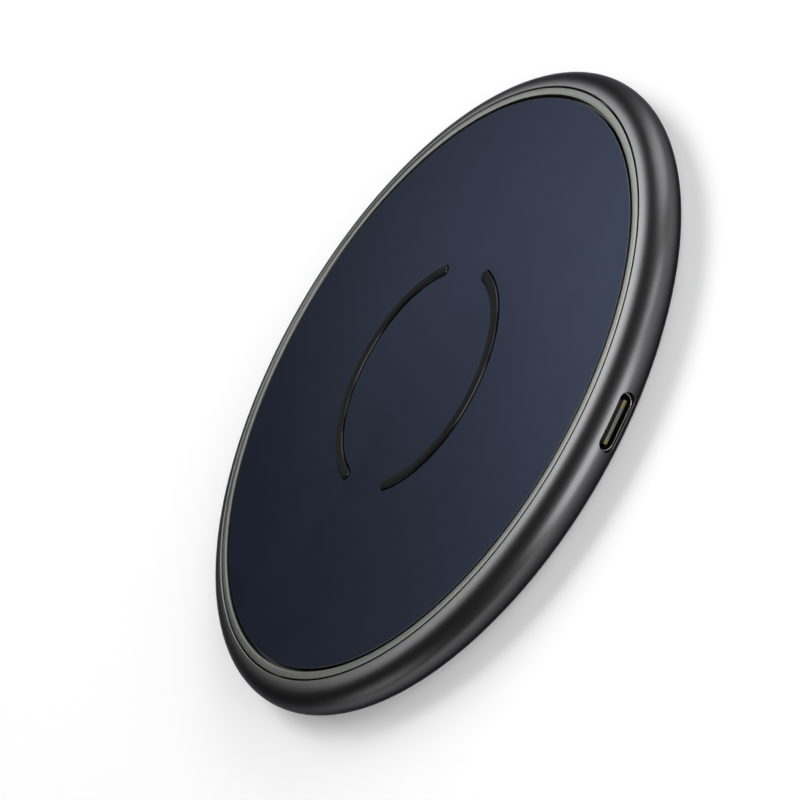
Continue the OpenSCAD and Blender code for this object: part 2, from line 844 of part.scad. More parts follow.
module usb_insulator() {
    inner_w = shell_w - 2 * shell_t - fit;
    inner_h = shell_h - 2 * shell_t - fit;
    color([0.12, 0.12, 0.12]) difference() {
        union() {
            translate([0, block_y, port_z]) pill(inner_w, inner_h, shell_back - block_y - fit);
            translate([0, block_y + root, port_z]) {
                bar(tongue_w, tongue_t, block_y + root - tip_y);
                bar(tongue_w, root_t, root + root_len);
            }
        }
        for (side = [-1, 1]) translate([0, 0, port_z + side * tongue_t / 2]) contact_grooves();
        translate([0, midplate_y, port_z])
            bar(tongue_w + cut, midplate_t + 2 * snug, midplate_y - tip_y + cut);
    }
}

module usb_midplate() {
    color([0.6, 0.6, 0.62]) translate([0, midplate_y - snug, port_z])
        bar(tongue_w, midplate_t, midplate_y - snug - tip_y);
}

// Grooves for one row of contacts, through the insulator to its back
module contact_grooves() {
    for (i = [0:contact_n - 1]) translate([contact_x(i), shell_back, 0])
        bar(contact_w, 2 * (contact_t - contact_proud), shell_back - contact_end);
}

module usb_contacts() {
    color([0.85, 0.68, 0.3]) for (side = [-1, 1]) for (i = [0:contact_n - 1]) {
        run_z = port_z + side * (tongue_t / 2 - contact_t / 2 + contact_proud);
        back = shell_back + tail_gap * (side + 2);
        translate([contact_x(i), back, run_z]) bar(contact_w, contact_t, back - contact_end);
        translate([contact_x(i), back, board_top])
            bar_up(contact_w, contact_t, run_z - board_top);
        translate([contact_x(i), back + tail_len, board_top])
            bar_up(contact_w, tail_len, contact_t);
    }
}

top_plate();
grip_strip_front();
grip_strip_back();
plate_adhesive();
bezel_ring();
rim_frame();
mid_frame();
bottom_cover();
foot_ring();
housing_screws();
coil_carrier();
ferrite_shield();
coil_tape();
charging_coil();
coil_pad();
thermistor();
main_board();
board_screws();
usb_shell();
usb_insulator();
usb_midplate();
usb_contacts();
controller_chip();
bridge_chips();
resonant_capacitors();
filter_inductor();
input_capacitors();
small_passives();
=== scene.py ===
"""A round wireless charging pad, dressed for its studio picture. Metres, in the CAD frame.

The pieces that show are turned or swept here with fine, rounded edges and stand for their CAD
nodes. Everything that they need is worked out from the nodes' boxes and the sizes below.
"""

import json
import math

import bmesh
import bpy
from mathutils import Matrix, Vector


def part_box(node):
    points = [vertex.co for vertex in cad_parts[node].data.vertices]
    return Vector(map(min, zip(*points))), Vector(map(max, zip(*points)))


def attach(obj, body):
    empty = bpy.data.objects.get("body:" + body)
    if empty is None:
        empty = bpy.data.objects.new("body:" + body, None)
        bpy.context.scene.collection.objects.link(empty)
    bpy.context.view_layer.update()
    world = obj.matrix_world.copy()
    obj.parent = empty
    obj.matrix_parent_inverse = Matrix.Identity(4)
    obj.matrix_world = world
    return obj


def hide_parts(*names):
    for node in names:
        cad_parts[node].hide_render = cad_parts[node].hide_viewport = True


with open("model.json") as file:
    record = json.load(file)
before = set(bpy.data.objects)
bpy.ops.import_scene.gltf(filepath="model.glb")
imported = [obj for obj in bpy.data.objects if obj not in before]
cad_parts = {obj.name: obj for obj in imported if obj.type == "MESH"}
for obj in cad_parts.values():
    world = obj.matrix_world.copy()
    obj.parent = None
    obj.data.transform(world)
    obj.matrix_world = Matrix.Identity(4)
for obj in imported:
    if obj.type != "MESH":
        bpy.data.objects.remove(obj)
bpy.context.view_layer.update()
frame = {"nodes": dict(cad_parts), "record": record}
nodes = frame["nodes"]
BODY = "root"
MM = 0.001

# ---- Sizes, from the outside inwards ----

rim_low, rim_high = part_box("rim_frame")
RIM_R = rim_high.x
RIM_BASE = rim_low.z
CREST_Z = rim_high.z
NOSE_HALF = (CREST_Z - RIM_BASE) / 2
PORT_Z = RIM_BASE + NOSE_HALF

# The rim's outer side is a nose arc between two wider shoulder arcs. A shoulder's centre lies 4
# parts inwards and 3 parts up or down from the nose's, so the arcs meet smoothly on that slope.
NOSE_REACH = 0.455 * MM
NOSE_R = NOSE_HALF - NOSE_REACH
SHOULDER_R = NOSE_HALF + 1.5 * NOSE_REACH
SHOULDER_ANGLE = math.atan2(3, 4)
CREST_R = RIM_R - NOSE_R - 2 * NOSE_REACH
NOSE_MID_R = CREST_R + 2 * NOSE_REACH

RIM_LAND = 0.35 * MM
RIM_TOP_R = CREST_R - RIM_LAND
RIM_EDGE_R = 0.2 * MM
CROWN = 0.06 * MM
CROWN_W = 1.6 * MM
RIM_IN_R = RIM_R - 3.2 * MM
LEDGE_IN_R = RIM_IN_R - 1.9 * MM
LEDGE_T = 0.9 * MM
REBATE_R = RIM_IN_R + 0.6 * MM
REBATE_H = 0.8 * MM
SEAM_R = 0.12 * MM

bezel_low, bezel_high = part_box("bezel_ring")
BEZEL_OUT_R = bezel_high.x
BEZEL_W = 1.22 * MM
BEZEL_DOME = 0.055 * MM
BEZEL_ROLL = 0.12 * MM
FLANGE_TOP = bezel_low.z
LEDGE_TOP = FLANGE_TOP - 0.85 * MM

plate_low, plate_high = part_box("top_plate")
PLATE_R = plate_high.x
PLATE_TOP = plate_high.z
PLATE_UNDER = plate_low.z
PLATE_FACE_R = PLATE_R - 0.14 * MM
PLATE_EDGE_R = 0.1 * MM
PLATE_STEP = 0.4 * MM

grip_low, grip_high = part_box("grip_strip_front")
GRIP_FOOT = grip_low.z
GRIP_TOP = grip_high.z
GRIP_R = 19.1 * MM
GRIP_HALF = 0.84 * MM
GRIP_SPAN = math.radians(139)
GRIP_SEAM = 0.15 * MM

shell_low, shell_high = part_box("usb_shell")
MOUTH_Y = shell_low.y
SHELL_BACK = shell_high.y
SHELL_W = 8.94 * MM
SHELL_H = 3.26 * MM
SHELL_T = 0.3 * MM
MOUTH_GAP = 0.1 * MM
SLOT_GAP = 0.1 * MM
SLOT_EDGE_R = 0.12 * MM
OPENING_H = 2.36 * MM
OPENING_Z = PORT_Z - 0.17 * MM

tongue_low, tongue_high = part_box("usb_insulator")
TONGUE_W = 6.69 * MM
TONGUE_T = 0.6 * MM
TONGUE_Z = PORT_Z - 0.25 * MM
TONGUE_TIP = MOUTH_Y - 0.1 * MM
ROOT_LEN = 1 * MM
ROOT_T = 1.05 * MM
BLOCK_LEN = 2.2 * MM
CONTACT_W = 0.25 * MM
CONTACT_T = 0.12 * MM
CONTACT_PITCH = 0.5 * MM
CONTACT_ROW = 12


def add_object(name, data):
    obj = bpy.data.objects.new(name, data)
    bpy.context.scene.collection.objects.link(obj)
    return obj


# ---- Camera ----

CAM_AZIMUTH = math.radians(-8.5)
CAM_ELEVATION = math.radians(26.56)
CAM_DISTANCE = 397.1 * MM
CAM_ROLL = math.radians(60.35)
CAM_LENS = 115.35
AIM_RIGHT = 2.375 * MM
AIM_UP = 3.774 * MM


def toward(azimuth, elevation):
    """Unit vector that points that way: azimuth 0 is -Y and 90 degrees is +X."""
    flat = math.cos(elevation)
    return Vector((math.sin(azimuth) * flat, -math.cos(azimuth) * flat, math.sin(elevation)))


def make_camera():
    """Rolled camera at its distance from the plate's middle, which lies a little off its aim."""
    middle = Vector((0, 0, PLATE_TOP))
    back = toward(CAM_AZIMUTH, CAM_ELEVATION)
    place = middle + CAM_DISTANCE * back
    level = Vector((0, 0, 1)).cross(back).normalized()
    lift = back.cross(level)
    right = math.cos(CAM_ROLL) * level - math.sin(CAM_ROLL) * lift
    up = math.sin(CAM_ROLL) * level + math.cos(CAM_ROLL) * lift
    aim = middle - AIM_RIGHT * right - AIM_UP * up
    back = (place - aim).normalized()
    right = up.cross(back).normalized()
    up = back.cross(right)
    data = bpy.data.cameras.new("camera")
    data.lens = CAM_LENS
    data.clip_start = 0.01
    data.clip_end = 20
    camera = add_object("camera", data)
    turn = Matrix((right, up, back)).transposed().to_4x4()
    camera.matrix_world = Matrix.Translation(place) @ turn
    bpy.context.scene.camera = camera


# ---- Nodes of a material ----

class Paint:
    """A Principled material whose colour, roughness and bump come from node patterns."""

    def __init__(self, name, metallic=0, specular=0.5, tint=(1, 1, 1)):
        self.mat = bpy.data.materials.new(name)
        self.mat.use_nodes = True
        self.tree = self.mat.node_tree
        self.shader = self.tree.nodes["Principled BSDF"]
        self.shader.inputs["Metallic"].default_value = metallic
        self.shader.inputs["Specular IOR Level"].default_value = specular
        self.shader.inputs["Specular Tint"].default_value = (*tint, 1)
        self.place = self.add("ShaderNodeTexCoord").outputs["Object"]

    def add(self, kind, **settings):
        node = self.tree.nodes.new(kind)
        for key, value in settings.items():
            setattr(node, key, value)
        return node

    def link(self, source, target):
        self.tree.links.new(source, target)

    def maths(self, operation, *values):
        """The result of a Math node; its values are numbers or other nodes' outputs."""
        node = self.add("ShaderNodeMath", operation=operation)
        for socket, value in zip(node.inputs, values):
            if isinstance(value, (int, float)):
                socket.default_value = value
            else:
                self.link(value, socket)
        return node.outputs[0]

    def noise(self, size, detail=3.0, rough=0.55, place=None):
        """Noise whose grains are about that size in metres."""
        node = self.add("ShaderNodeTexNoise")
        node.inputs["Scale"].default_value = 1 / size
        node.inputs["Detail"].default_value = detail
        node.inputs["Roughness"].default_value = rough
        self.link(place or self.place, node.inputs["Vector"])
        return node.outputs["Fac"]

    def split(self, place):
        """A place's three coordinates, one output each."""
        node = self.add("ShaderNodeSeparateXYZ")
        self.link(place, node.inputs[0])
        return node.outputs

    def polar(self, radial=1, around=1):
        """The place as (radius / radial, turn / around, height / radial), to stretch a pattern
        round Z."""
        x, y, height = self.split(self.place)
        squares = [self.maths("MULTIPLY", side, side) for side in (x, y)]
        radius = self.maths("SQRT", self.maths("ADD", *squares))
        turn = self.maths("ARCTAN2", y, x)
        joined = self.add("ShaderNodeCombineXYZ")
        parts = ((radius, radial), (turn, around), (height, radial))
        for socket, (part, unit) in zip(joined.inputs, parts):
            self.link(self.maths("DIVIDE", part, unit), socket)
        return joined.outputs[0]

    def between(self, factor, low, high, start=0.3, end=0.7):
        """factor from start to end, as a value from low to high."""
        node = self.add("ShaderNodeMapRange")
        self.link(factor, node.inputs["Value"])
        node.inputs["From Min"].default_value = start
        node.inputs["From Max"].default_value = end
        node.inputs["To Min"].default_value = low
        node.inputs["To Max"].default_value = high
        return node.outputs["Result"]

    def mix(self, factor, low, high):
        """Colour from low to high; each is a tuple or another node's output."""
        node = self.add("ShaderNodeMix", data_type="RGBA")
        self.link(factor, node.inputs["Factor"])
        for socket, colour in ((node.inputs["A"], low), (node.inputs["B"], high)):
            if isinstance(colour, tuple):
                socket.default_value = (*colour, 1)
            else:
                self.link(colour, socket)
        return node.outputs["Result"]

    def colour(self, source):
        self.link(source, self.shader.inputs["Base Color"])

    def tones(self, factor, colour, spread):
        """Colour that goes from darker to lighter by spread as factor rises."""
        low = tuple(c * (1 - spread) for c in colour)
        high = tuple(c * (1 + spread) for c in colour)
        self.colour(self.mix(self.between(factor, 0, 1), low, high))

    def roughness(self, source):
        self.link(source, self.shader.inputs["Roughness"])

    def bump(self, height, depth):
        """height from 0 to 1, that stands for depth in metres."""
        node = self.add("ShaderNodeBump")
        node.inputs["Strength"].default_value = 1
        node.inputs["Distance"].default_value = depth
        self.link(height, node.inputs["Height"])
        self.link(node.outputs["Normal"], self.shader.inputs["Normal"])


# ---- Materials ----

def gunmetal():
    """Blasted, dyed metal: a painted highlight along the crest's inner edge, painted shade
    underneath.
    """
    low_cloud, high_cloud = (0.0885, 0.0875, 0.09), (0.095, 0.094, 0.097)
    # Painted shade: a darker colour for the rim's underside.
    underside_shade = (0.054, 0.0535, 0.056)
    # Painted highlight: a lighter colour along the crest's inner edge.
    painted_highlight = (0.149, 0.148, 0.151)
    highlight_w = 1.6 * MM
    shade_full_z, shade_end_z = PORT_Z - 1 * MM, PORT_Z + 0.5 * MM
    paint = Paint("blasted_gunmetal", metallic=1, tint=(0.3, 0.3, 0.31))
    radius, _, height = paint.split(paint.polar())
    fine = paint.noise(0.06 * MM)
    # The painted shade is full below the first height and gone above the second.
    shaded_under = paint.between(height, 1, 0, shade_full_z, shade_end_z)
    inner = paint.between(radius, 1, 0, RIM_TOP_R, RIM_TOP_R + highlight_w)
    # The painted highlight along the crest's inner edge, kept off the painted shade underneath.
    crest_highlight = paint.maths("MULTIPLY", inner, paint.maths("SUBTRACT", 1, shaded_under))
    clouds = paint.mix(paint.noise(1.8 * MM, detail=4), low_cloud, high_cloud)
    paint.colour(paint.mix(crest_highlight, paint.mix(shaded_under, clouds, underside_shade), painted_highlight))
    paint.roughness(paint.between(fine, 0.32, 0.38))
    paint.bump(fine, depth=0.001 * MM)
    return paint.mat


def turned_metal():
    """Metal turned on a lathe: fine rings round Z, darker at a grazing view by its tint."""
    grey = (0.14, 0.143, 0.134)
    paint = Paint("turned_bezel", metallic=1, tint=(0.4, 0.4, 0.4))
    rings = paint.noise(1, detail=4, rough=0.7, place=paint.polar(0.05 * MM, 0.5))
    paint.tones(rings, grey, spread=0.1)
    paint.roughness(paint.between(rings, 0.32, 0.46))
    paint.bump(rings, depth=0.002 * MM)
    return paint.mat


def satin_plate():
    """Satin navy coat with a fine tooth, a painted highlight on its rounded edge and painted
    shade beyond.
    """
    low_navy, high_navy = (0.0125, 0.0156, 0.0252), (0.0132, 0.0165, 0.0267)
    # Painted highlight: a lighter colour along the plate's rounded edge.
    painted_edge_light = (0.062, 0.064, 0.07)
    # Painted shade: black on the plate beyond its edge, down in the gap to the bezel.
    black = (0.004, 0.004, 0.005)
    edge_light_from = PLATE_FACE_R - 0.03 * MM
    gap_shade_from, gap_shade_to = PLATE_FACE_R + 0.085 * MM, PLATE_FACE_R + 0.105 * MM
    paint = Paint("satin_navy", metallic=0.82, specular=0, tint=(0.66, 0.69, 0.78))
    radius = paint.split(paint.polar())[0]
    tooth = paint.noise(0.05 * MM, detail=2)
    clouds = paint.noise(9 * MM, detail=4)
    edge = paint.between(radius, 0, 1, edge_light_from, PLATE_FACE_R)
    gap_shade = paint.between(radius, 0, 1, gap_shade_from, gap_shade_to)
    lined = paint.mix(edge, paint.mix(clouds, low_navy, high_navy), painted_edge_light)
    paint.colour(paint.mix(gap_shade, lined, black))
    paint.roughness(paint.between(clouds, 0.365, 0.395))
    paint.bump(tooth, depth=0.0008 * MM)
    return paint.mat


def strip_rubber():
    """Black rubber, matte on its crown and shinier down its flanks."""
    flank_z, crown_z = PLATE_TOP + 0.16 * MM, PLATE_TOP + 0.38 * MM
    flank_rough, crown_rough = 0.16, 0.95
    black = (0.0019, 0.0024, 0.0024)
    paint = Paint("strip_rubber", specular=0.23)
    height = paint.split(paint.place)[2]
    fine = paint.noise(0.1 * MM)
    paint.tones(paint.noise(3 * MM, detail=4), black, spread=0.1)
    rough = paint.between(height, flank_rough, crown_rough, flank_z, crown_z)
    paint.roughness(paint.maths("ADD", rough, paint.between(fine, -0.03, 0.03)))
    paint.bump(fine, depth=0.003 * MM)
    return paint.mat


def tongue_plastic():
    """Dark moulded plastic, with a painted highlight that lightens the tongue's tip."""
    low_dark, high_dark = (0.016, 0.016, 0.014), (0.03, 0.03, 0.026)
    # Painted highlight: a lighter colour on the tongue's tip.
    painted_highlight = (0.052, 0.057, 0.05)
    highlight_from, highlight_to = TONGUE_TIP + 0.02 * MM, TONGUE_TIP + 0.12 * MM
    paint = Paint("tongue_plastic")
    fine = paint.noise(0.05 * MM)
    lit_tip = paint.between(paint.split(paint.place)[1], 1, 0, highlight_from, highlight_to)
    clouds = paint.between(paint.noise(0.6 * MM), 0, 0.3)
    paint.colour(paint.mix(lit_tip, paint.mix(clouds, low_dark, high_dark), painted_highlight))
    paint.roughness(paint.between(fine, 0.45, 0.55))
    paint.bump(fine, depth=0.002 * MM)
    return paint.mat


def litz():
    """Enamelled Litz wire: strands that wind round the turns."""
    copper = (0.62, 0.27, 0.12)
    paint = Paint("litz_copper", metallic=1)
    strands = paint.noise(1, detail=1, place=paint.polar(0.12 * MM, 0.05))
    paint.tones(strands, copper, spread=0.3)
    paint.roughness(paint.between(strands, 0.3, 0.5))
    paint.bump(strands, depth=0.05 * MM)
    return paint.mat


def board_mask():
    """Green solder mask over copper: tracks show as slightly lighter, raised lanes."""
    lane_pitch = 2.4 * MM
    mask, track = (0.006, 0.05, 0.022), (0.012, 0.095, 0.04)
    paint = Paint("board_mask")
    lanes = paint.add("ShaderNodeTexBrick")
    lanes.inputs["Scale"].default_value = 1 / lane_pitch
    lanes.inputs["Mortar Size"].default_value = 0.06
    for key, level in (("Color1", 0), ("Color2", 0), ("Mortar", 1)):
        lanes.inputs[key].default_value = (level, level, level, 1)
    paint.link(paint.place, lanes.inputs["Vector"])
    paint.colour(paint.mix(lanes.outputs["Color"], mask, track))
    paint.roughness(paint.between(paint.noise(0.4 * MM), 0.28, 0.38))
    paint.bump(lanes.outputs["Color"], depth=0.02 * MM)
    return paint.mat


# Slots with an even moulded, cast or blasted surface. A row gives the colour, the roughness, the
# grain's size and depth in millimetres, how far the tone varies, and whether it is a metal.
GRAINED = {
    "foam_tape": ((0.03, 0.03, 0.03), 0.9, 0.25, 0.05, 0.08, False),
    "frame_plastic": ((0.012, 0.012, 0.013), 0.55, 0.15, 0.008, 0.08, False),
    "cover_plastic": ((0.016, 0.016, 0.017), 0.55, 0.2, 0.012, 0.08, False),
    "foot_rubber": ((0.022, 0.022, 0.022), 0.75, 0.12, 0.01, 0.08, False),
    "screw_steel": ((0.18, 0.18, 0.19), 0.35, 0.08, 0.003, 0.1, True),
    "carrier_plastic": ((0.5, 0.5, 0.47), 0.5, 0.15, 0.006, 0.03, False),
    "ferrite": ((0.035, 0.033, 0.033), 0.6, 0.1, 0.01, 0.15, False),
    "film_tape": ((0.45, 0.2, 0.02), 0.3, 0.6, 0.01, 0.1, False),
    "epoxy_bead": ((0.02, 0.03, 0.06), 0.3, 0.3, 0.02, 0.08, False),
    "shell_steel": ((0.2, 0.2, 0.2), 0.28, 0.1, 0.001, 0.05, True),
    # Painted shade: the contacts' gold is darkened for the shade deep in the inlet, where they
    # sit.
    "contact_gold": ((0.17, 0.138, 0.058), 0.36, 0.05, 0.001, 0.08, True),
    "chip_epoxy": ((0.02, 0.02, 0.021), 0.6, 0.06, 0.006, 0.08, False),
    "capacitor_ceramic": ((0.32, 0.22, 0.13), 0.5, 0.1, 0.004, 0.08, False),
}


def grained(name, colour, rough, grain_mm, depth_mm, spread, metal):
    """Cloudy tone, with a fine grain in the bump and roughness."""
    grain = grain_mm * MM
    paint = Paint(name, metallic=1 if metal else 0)
    fine = paint.noise(grain)
    paint.tones(paint.noise(30 * grain, detail=4), colour, spread)
    paint.roughness(paint.between(fine, rough - 0.05, rough + 0.05))
    paint.bump(fine, depth=depth_mm * MM)
    return paint.mat


def make_paints():
    """One material for each slot of the record."""
    return {
        "satin_glass": satin_plate(),
        "grip_rubber": strip_rubber(),
        "bezel_metal": turned_metal(),
        "rim_metal": gunmetal(),
        "copper_wire": litz(),
        "circuit_board": board_mask(),
        "insulator_plastic": tongue_plastic(),
        **{slot: grained(slot, *row) for slot, row in GRAINED.items()},
    }


def dress(obj, slot):
    obj.data.materials.clear()
    obj.data.materials.append(paints[slot])


def finish_piece(obj, slot, node):
    """Dresses a piece and lets it stand for its CAD node."""
    dress(obj, slot)
    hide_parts(node)
    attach(obj, BODY)


# ---- Meshes ----

SHARP = math.radians(28)
BLOCK_SHARP = math.radians(40)
WELD = 0.0001 * MM
TURNS = 360


def arc(centre, radius, start, end, steps):
    """Points of an arc, both ends included; angles in radians."""
    turn = [start + (end - start) * i / steps for i in range(steps + 1)]
    return [(centre[0] + radius * math.cos(a), centre[1] + radius * math.sin(a)) for a in turn]


def from_faces(name, verts, faces):
    """Smooth object whose faces are welded and point outwards."""
    mesh = bpy.data.meshes.new(name)
    mesh.from_pydata(verts, [], faces)
    work = bmesh.new()
    work.from_mesh(mesh)
    bmesh.ops.remove_doubles(work, verts=work.verts, dist=WELD)
    bmesh.ops.dissolve_degenerate(work, edges=work.edges, dist=WELD)
    bmesh.ops.recalc_face_normals(work, faces=work.faces)
    work.to_mesh(mesh)
    work.free()
    mesh.shade_smooth()
    mesh.set_sharp_from_angle(angle=SHARP)
    return add_object(name, mesh)


def skin(name, rings, closed=False, capped=False):
    """Quads between rings of equal length. The last ring joins the first if closed, and one face
    covers each end if capped."""
    count = len(rings[0])
    faces = []
    for i in range(len(rings) if closed else len(rings) - 1):
        a = i * count
        b = (i + 1) % len(rings) * count
        for k in range(count):
            after = (k + 1) % count
            faces.append((a + k, a + after, b + after, b + k))
    if capped:
        last = (len(rings) - 1) * count
        faces += [tuple(range(count)), tuple(range(last, last + count))]
    return from_faces(name, [point for ring in rings for point in ring], faces)


def lathe(name, profile, closed=True):
    """Turns a profile of (radius, height) points round Z. A profile that isn't closed starts and
    ends on the axis."""
    turn = [math.tau * k / TURNS for k in range(TURNS)]
    rings = [[(r * math.cos(a), r * math.sin(a), z) for a in turn] for r, z in profile]
    return skin(name, rings, closed)


def cut_out(target, cutter):
    """Takes the cutter's shape out of the target, for good."""
    step = target.modifiers.new("cut", "BOOLEAN")
    step.operation = "DIFFERENCE"
    step.solver = "EXACT"
    step.object = cutter
    graph = bpy.context.evaluated_depsgraph_get()
    mesh = bpy.data.meshes.new_from_object(target.evaluated_get(graph))
    mesh.set_sharp_from_angle(angle=SHARP)
    target.modifiers.clear()
    target.data = mesh
    bpy.data.objects.remove(cutter)


# ---- Rim ----

def rim_normal(point):
    """Outward normal of the rim's outer side at a point on it."""
    radius = math.hypot(point.x, point.y)
    slope = math.atan2(point.z - PORT_Z, radius - NOSE_MID_R)
    if abs(slope) > SHOULDER_ANGLE:
        middle_z = CREST_Z - SHOULDER_R if slope > 0 else RIM_BASE + SHOULDER_R
        slope = math.atan2(point.z - middle_z, radius - CREST_R)
    out = Vector((point.x / radius, point.y / radius, 0))
    return math.cos(slope) * out + math.sin(slope) * Vector((0, 0, 1))


def rim_radius(z):
    """Radius of the rim's outer side at a height."""
    rise = abs(z - PORT_Z)
    if rise <= NOSE_R * math.sin(SHOULDER_ANGLE):
        return NOSE_MID_R + math.sqrt(NOSE_R ** 2 - rise ** 2)
    past_centre = SHOULDER_R - NOSE_HALF + rise
    return CREST_R + math.sqrt(SHOULDER_R ** 2 - past_centre ** 2)


def crowned(points):
    """Raises points near the rim's inner edge, so that the crest falls outwards from there."""
    inner = RIM_TOP_R + RIM_EDGE_R
    raised = []
    for r, z in points:
        part = 1 - min(max((r - inner) / CROWN_W, 0), 1)
        raised.append((r, z + CROWN * part ** 2))
    return raised


def rim_profile():
    quarter = math.pi / 2
    ledge_under = LEDGE_TOP - LEDGE_T
    edge_middle = (RIM_TOP_R + RIM_EDGE_R, CREST_Z - RIM_EDGE_R)
    upper_middle = (CREST_R, CREST_Z - SHOULDER_R)
    lower_middle = (CREST_R, RIM_BASE + SHOULDER_R)
    return [
        (RIM_TOP_R, LEDGE_TOP),
        *crowned([
            *arc(edge_middle, RIM_EDGE_R, math.pi, quarter, steps=6),
            (CREST_R - RIM_LAND / 3, CREST_Z),
            *arc(upper_middle, SHOULDER_R, quarter, SHOULDER_ANGLE, steps=40),
        ]),
        *arc((NOSE_MID_R, PORT_Z), NOSE_R, SHOULDER_ANGLE, -SHOULDER_ANGLE, steps=36)[1:],
        *arc(lower_middle, SHOULDER_R, -SHOULDER_ANGLE, -quarter, steps=26)[1:],
        *arc((REBATE_R + SEAM_R, RIM_BASE + SEAM_R), SEAM_R, -quarter, -math.pi, steps=4),
        (REBATE_R, RIM_BASE + REBATE_H),
        (RIM_IN_R, RIM_BASE + REBATE_H),
        (RIM_IN_R, ledge_under),
        (LEDGE_IN_R, ledge_under),
        (LEDGE_IN_R, LEDGE_TOP),
    ]


def pill_outline(width, height):
    """Points (x, z) of a pill outline, each with its outward direction."""
    end_steps = 24
    side_steps = 14
    end_r = height / 2
    half = (width - height) / 2
    points = []
    for side in (1, -1):
        for i in range(end_steps + 1):
            a = math.pi * (i / end_steps - 0.5) + (0 if side > 0 else math.pi)
            out = (math.cos(a), math.sin(a))
            points.append(((side * half + end_r * out[0], end_r * out[1]), out))
        for i in range(1, side_steps):
            x = side * (half - 2 * half * i / side_steps)
            points.append(((x, side * end_r), (0, side)))
    return points


def tube_rings(outline, stations, middle=PORT_Z):
    """Rings along Y: stations(x, z, out) lists an outline point's (offset outwards, y) pairs."""
    columns = [
        [(x + o * out[0], y, middle + z + o * out[1]) for o, y in stations(x, z, out)]
        for (x, z), out in outline
    ]
    return list(zip(*columns))


def opening_cutter():
    """The inlet's opening, trumpet-shaped so that it leaves a rounded edge in the rim."""
    ahead = 1 * MM

    def stations(x, z, out):
        y = -math.sqrt(rim_radius(OPENING_Z + z) ** 2 - x ** 2)
        normal = rim_normal(Vector((x, y, OPENING_Z + z)))
        tilt = math.asin(normal.x * out[0] + normal.z * out[1])
        edge_y = y + SLOT_EDGE_R * (math.tan(tilt) + 1 / math.cos(tilt))
        first = tilt - math.pi / 2
        far = SLOT_EDGE_R + ahead
        outside = (SLOT_EDGE_R + far * math.cos(first), edge_y + far * math.sin(first))
        edge = arc((SLOT_EDGE_R, edge_y), SLOT_EDGE_R, first, -math.pi, steps=6)
        return [outside, *edge, (0, MOUTH_Y + ahead)]

    rings = tube_rings(pill_outline(SHELL_W, OPENING_H), stations, OPENING_Z)
    return skin("opening", rings, capped=True)


def pocket_cutter():
    """The pocket behind the opening, which takes the shell."""
    past_ledge = 2 * MM
    outline = pill_outline(SHELL_W + 2 * SLOT_GAP, SHELL_H + 2 * SLOT_GAP)
    ends = [(0, MOUTH_Y - MOUTH_GAP), (0, past_ledge - LEDGE_IN_R)]
    return skin("pocket", tube_rings(outline, lambda x, z, out: ends), capped=True)


def smooth_rim(mesh):
    """Gives the rim's outer side its exact normals, so that the cuts don't show as shading."""
    reach = 0.003 * MM
    alike = math.cos(math.radians(25))
    normals = [Vector(n.vector) for n in mesh.corner_normals]
    for face in mesh.polygons:
        for corner in face.loop_indices:
            point = mesh.vertices[mesh.loops[corner].vertex_index].co
            radius = math.hypot(point.x, point.y)
            if radius < CREST_R or not RIM_BASE < point.z < CREST_Z:
                continue
            if abs(radius - rim_radius(point.z)) > reach:
                continue
            exact = rim_normal(point)
            if exact.dot(face.normal) > alike:
                normals[corner] = exact
    mesh.normals_split_custom_set(normals)


def make_rim():
    rim = lathe("rim", rim_profile())
    cut_out(rim, opening_cutter())
    cut_out(rim, pocket_cutter())
    smooth_rim(rim.data)
    finish_piece(rim, "rim_metal", "rim_frame")


# ---- Bezel, plate and grip strips ----

def make_bezel():
    """Slightly crowned ring with a rolled inner edge and shallow turning grooves."""
    steps = 96
    grooves = 3
    groove_depth = 0.01 * MM
    inner = BEZEL_OUT_R - BEZEL_W
    half = BEZEL_W / 2
    dome_r = (half ** 2 + BEZEL_DOME ** 2) / (2 * BEZEL_DOME)
    profile = [(inner, FLANGE_TOP)]
    for i in range(steps + 1):
        across = -half + BEZEL_W * i / steps
        dome_z = bezel_high.z - dome_r + math.sqrt(dome_r ** 2 - across ** 2)
        into_roll = max(BEZEL_ROLL - half - across, 0)
        roll = BEZEL_ROLL - math.sqrt(BEZEL_ROLL ** 2 - into_roll ** 2)
        fade = 1 - (across / half) ** 2
        groove = groove_depth * fade * (0.5 - 0.5 * math.cos(math.tau * grooves * i / steps))
        profile.append((inner + half + across, dome_z - roll - groove))
    profile.append((BEZEL_OUT_R, FLANGE_TOP))
    finish_piece(lathe("bezel", profile), "bezel_metal", "bezel_ring")


def strip_outline(side):
    """Points of a strip's centreline arc, there and back, each with its outward direction."""
    along_steps = 72
    end_steps = 20
    middle = side * math.pi / 2
    points = []
    for edge in (1, -1):
        for i in range(along_steps):
            a = middle + edge * GRIP_SPAN * (i / along_steps - 0.5)
            ray = Vector((math.cos(a), math.sin(a), 0))
            points.append((GRIP_R * ray, edge * ray))
        a = middle + edge * GRIP_SPAN / 2
        ray = Vector((math.cos(a), math.sin(a), 0))
        ahead = edge * Vector((-math.sin(a), math.cos(a), 0))
        for i in range(end_steps):
            b = math.pi * i / end_steps
            points.append((GRIP_R * ray, edge * math.cos(b) * ray + math.sin(b) * ahead))
    return points


def strip_rings(side, sections):
    """Rings round a strip, one at each (offset outwards, height) of its sections."""
    outline = strip_outline(side)
    return [[at + o * out + Vector((0, 0, z)) for at, out in outline] for o, z in sections]


